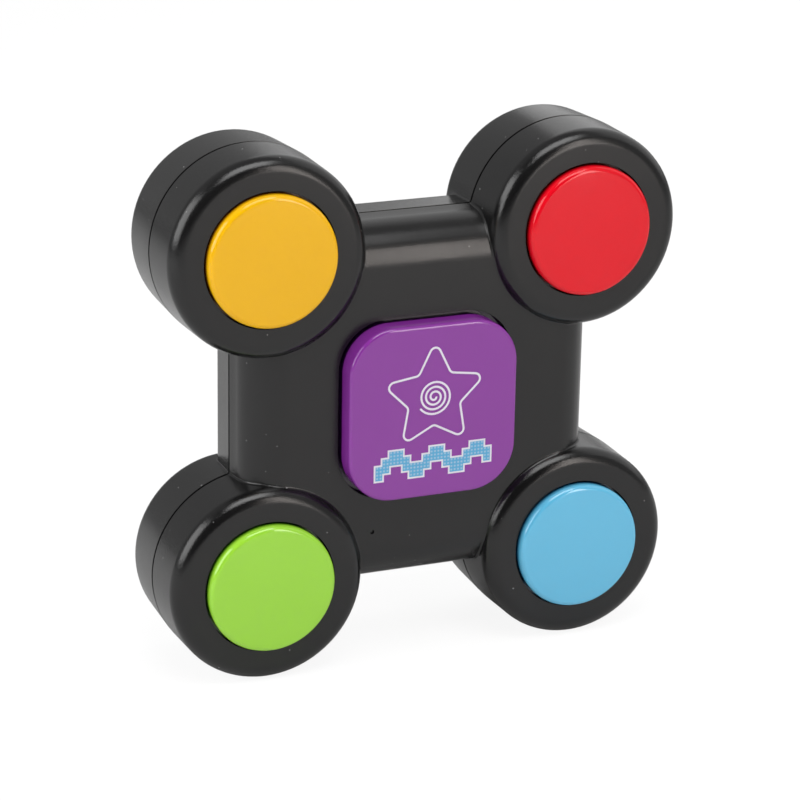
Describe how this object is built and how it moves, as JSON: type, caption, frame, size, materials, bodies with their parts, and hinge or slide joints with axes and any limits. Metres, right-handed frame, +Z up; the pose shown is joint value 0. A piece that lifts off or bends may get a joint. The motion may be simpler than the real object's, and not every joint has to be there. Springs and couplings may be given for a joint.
{
  "type": "handheld electronic game",
  "caption": "Handheld light and sound game: square body with a round pod on each corner, a coloured lit button in every pod and a large square start button in the middle.",
  "frame": {"origin": "on the ground under the middle of the game, which stands upright on its two lower pods", "axes": "+X to the right seen from the front, +Y to the back, +Z up; the buttons face -Y"},
  "size_m": [0.1222, 0.0338, 0.1222],
  "materials": {
    "case_black": "satin moulded plastic with a very fine texture",
    "cap_yellow": "glossy dyed translucent plastic",
    "cap_red": "glossy dyed translucent plastic",
    "cap_green": "glossy dyed translucent plastic",
    "cap_blue": "glossy dyed translucent plastic",
    "cap_purple": "semi-gloss plastic, printed",
    "board_green": "glass fibre laminate under solder mask",
    "silicone": "matt milky silicone",
    "lamp_clear": "clear cast resin",
    "resin_black": "poured black resin",
    "steel": "nickel plated",
    "magnet_grey": "sintered ferrite",
    "paper_black": "pressed paper",
    "cell_sleeve": "plain grey sleeve",
    "lead_red": "insulated wire",
    "lead_black": "insulated wire"
  },
  "bodies": {
    "case": {"front_shell": "case_black", "rear_shell": "case_black", "main_board": "board_green", "sound_chip": "resin_black", "speaker_basket": "steel", "speaker_magnet": "magnet_grey", "speaker_cone": "paper_black", "cell_upper": "cell_sleeve", "cell_lower": "cell_sleeve", "contact_plus": "steel", "contact_minus": "steel", "contact_bridge": "steel", "lead_cell_plus": "lead_red", "lead_speaker_plus": "lead_red", "lead_cell_minus": "lead_black", "lead_speaker_minus": "lead_black", "dome_yellow": "silicone", "lamp_yellow": "lamp_clear", "dome_red": "silicone", "lamp_red": "lamp_clear", "dome_green": "silicone", "lamp_green": "lamp_clear", "dome_blue": "silicone", "lamp_blue": "lamp_clear", "dome_start": "silicone", "case_screw_upper_left": "steel", "case_screw_upper_right": "steel", "case_screw_lower_left": "steel", "case_screw_lower_right": "steel", "board_screw_left": "steel", "board_screw_right": "steel", "board_screw_upper": "steel", "board_screw_lower": "steel"},
    "yellow_button": {"yellow_button": "cap_yellow"},
    "red_button": {"red_button": "cap_red"},
    "green_button": {"green_button": "cap_green"},
    "blue_button": {"blue_button": "cap_blue"},
    "start_button": {"start_button": "cap_purple"},
    "battery_cover": {"battery_cover": "case_black"},
    "cover_screw_left": {"cover_screw_left": "steel"},
    "cover_screw_right": {"cover_screw_right": "steel"}
  },
  "joints": [
    {"name": "yellow_press", "type": "slide", "parent": "case", "child": "yellow_button", "axis": [0, 1, 0], "range_m": [0, 0.0018], "stiffness_N_per_m": 300, "springref_m": -0.0015, "deforming": ["dome_yellow"]},
    {"name": "red_press", "type": "slide", "parent": "case", "child": "red_button", "axis": [0, 1, 0], "range_m": [0, 0.0018], "stiffness_N_per_m": 300, "springref_m": -0.0015, "deforming": ["dome_red"]},
    {"name": "green_press", "type": "slide", "parent": "case", "child": "green_button", "axis": [0, 1, 0], "range_m": [0, 0.0018], "stiffness_N_per_m": 300, "springref_m": -0.0015, "deforming": ["dome_green"]},
    {"name": "blue_press", "type": "slide", "parent": "case", "child": "blue_button", "axis": [0, 1, 0], "range_m": [0, 0.0018], "stiffness_N_per_m": 300, "springref_m": -0.0015, "deforming": ["dome_blue"]},
    {"name": "start_press", "type": "slide", "parent": "case", "child": "start_button", "axis": [0, 1, 0], "range_m": [0, 0.0018], "stiffness_N_per_m": 300, "springref_m": -0.0015, "deforming": ["dome_start"]},
    {"name": "cover_lift", "type": "slide", "parent": "case", "child": "battery_cover", "axis": [0, 1, 0], "range_m": [0, 0.012]},
    {"name": "cover_screw_left_out", "type": "slide", "parent": "battery_cover", "child": "cover_screw_left", "axis": [0, 1, 0], "range_m": [0, 0.0052]},
    {"name": "cover_screw_right_out", "type": "slide", "parent": "battery_cover", "child": "cover_screw_right", "axis": [0, 1, 0], "range_m": [0, 0.0052]}
  ]
}
